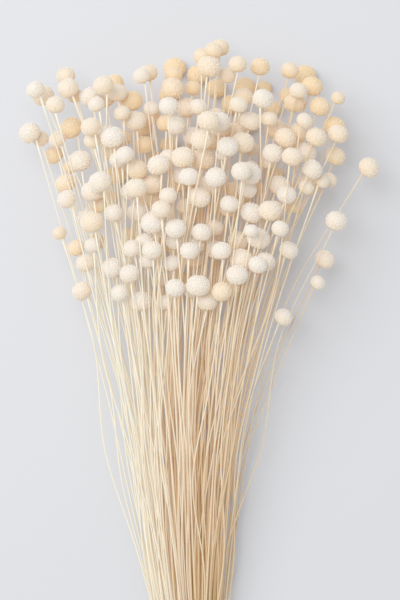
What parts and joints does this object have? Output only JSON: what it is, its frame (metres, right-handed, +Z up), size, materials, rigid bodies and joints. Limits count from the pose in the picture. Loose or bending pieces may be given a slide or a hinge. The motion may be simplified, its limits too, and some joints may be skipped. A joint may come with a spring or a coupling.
{
  "type": "dried button chrysanthemum bunch",
  "caption": "tied bunch of dried button chrysanthemums lying on its side, thin bare stems fanning out to small round ivory heads",
  "frame": {"origin": "middle of the underside of the whole bunch's bounding box, on the table it lies on", "axes": "+Z up from the table, +Y along the stems from the cut ends towards the heads, +X to the right seen from above with the heads away from the viewer"},
  "size_m": [0.228, 0.4646, 0.0992],
  "materials": {
    "flower_head": "matte",
    "stem": "matte",
    "twine": "matte"
  },
  "bodies": {
    "root": {"flowers_01": "flower_head", "flowers_02": "flower_head", "flowers_03": "flower_head", "flowers_04": "flower_head", "flowers_05": "flower_head", "flowers_06": "flower_head", "flowers_07": "flower_head", "flowers_08": "flower_head", "flowers_09": "flower_head", "flowers_10": "flower_head", "flowers_11": "flower_head", "flowers_12": "flower_head", "flowers_13": "flower_head", "flowers_14": "flower_head", "flowers_15": "flower_head", "flowers_16": "flower_head", "flowers_17": "flower_head", "flowers_18": "flower_head", "flowers_19": "flower_head", "flowers_20": "flower_head", "flowers_21": "flower_head", "flowers_22": "flower_head", "flowers_23": "flower_head", "flowers_24": "flower_head", "flowers_25": "flower_head", "flowers_26": "flower_head", "flowers_27": "flower_head", "flowers_28": "flower_head", "flowers_29": "flower_head", "flowers_30": "flower_head", "flowers_31": "flower_head", "flowers_32": "flower_head", "flowers_33": "flower_head", "flowers_34": "flower_head", "flowers_35": "flower_head", "flowers_36": "flower_head", "flowers_37": "flower_head", "flowers_38": "flower_head", "flowers_39": "flower_head", "flowers_40": "flower_head", "flowers_41": "flower_head", "flowers_42": "flower_head", "flowers_43": "flower_head", "flowers_44": "flower_head", "flowers_45": "flower_head", "flowers_46": "flower_head", "flowers_47": "flower_head", "flowers_48": "flower_head", "flowers_49": "flower_head", "flowers_50": "flower_head", "flowers_51": "flower_head", "flowers_52": "flower_head", "tie": "twine"}
  },
  "joints": []
}
